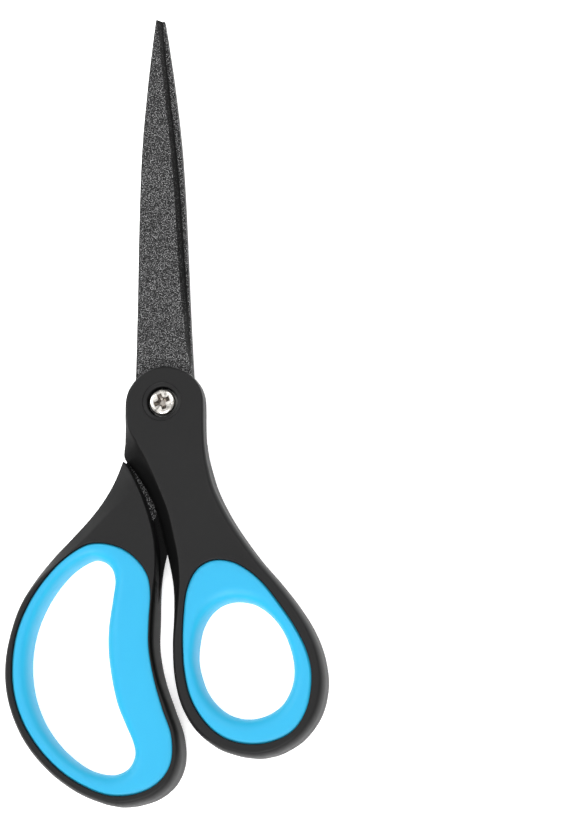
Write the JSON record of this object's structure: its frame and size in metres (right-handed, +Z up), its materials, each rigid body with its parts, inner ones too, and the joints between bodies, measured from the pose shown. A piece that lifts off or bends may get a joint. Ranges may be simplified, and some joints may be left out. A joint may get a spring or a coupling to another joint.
{
  "type": "scissors",
  "caption": "Office scissors with dark coated blades, a cross-recess pivot screw, and black handles with blue soft-grip loops for thumb and fingers.",
  "frame": {"origin": "on the pivot axis, at the outer face of the pivot nut, which is the surface the scissors lie on", "axes": "+Z up along the pivot axis, +Y along the closed blades towards the tips, +X towards the thumb loop"},
  "size_m": [0.0862, 0.2158, 0.012],
  "materials": {
    "blade_coating": "dark non-stick coating with a fine sandy speckle",
    "handle_plastic": "satin black moulded plastic",
    "grip_rubber": "satin sky-blue soft rubber",
    "nut_steel": "plain bright steel",
    "washer_steel": "dark steel",
    "screw_nickel": "bright nickel plate"
  },
  "bodies": {
    "rear_half": {"rear_blade": "blade_coating", "rear_handle": "handle_plastic", "rear_grip": "grip_rubber", "pivot_nut": "nut_steel", "screw_washer": "washer_steel"},
    "front_half": {"front_blade": "blade_coating", "front_handle": "handle_plastic", "front_grip": "grip_rubber"},
    "screw": {"pivot_screw": "screw_nickel"}
  },
  "joints": [
    {"name": "blade_pivot", "type": "hinge", "parent": "rear_half", "child": "front_half", "pos_m": [0, 0, 0.006], "axis": [0, 0, 1], "range_deg": [-1.5, 95]},
    {"name": "tension_screw", "type": "hinge", "parent": "rear_half", "child": "screw", "pos_m": [0, 0, 0.006], "axis": [0, 0, 1], "range_deg": [-90, 90]}
  ]
}
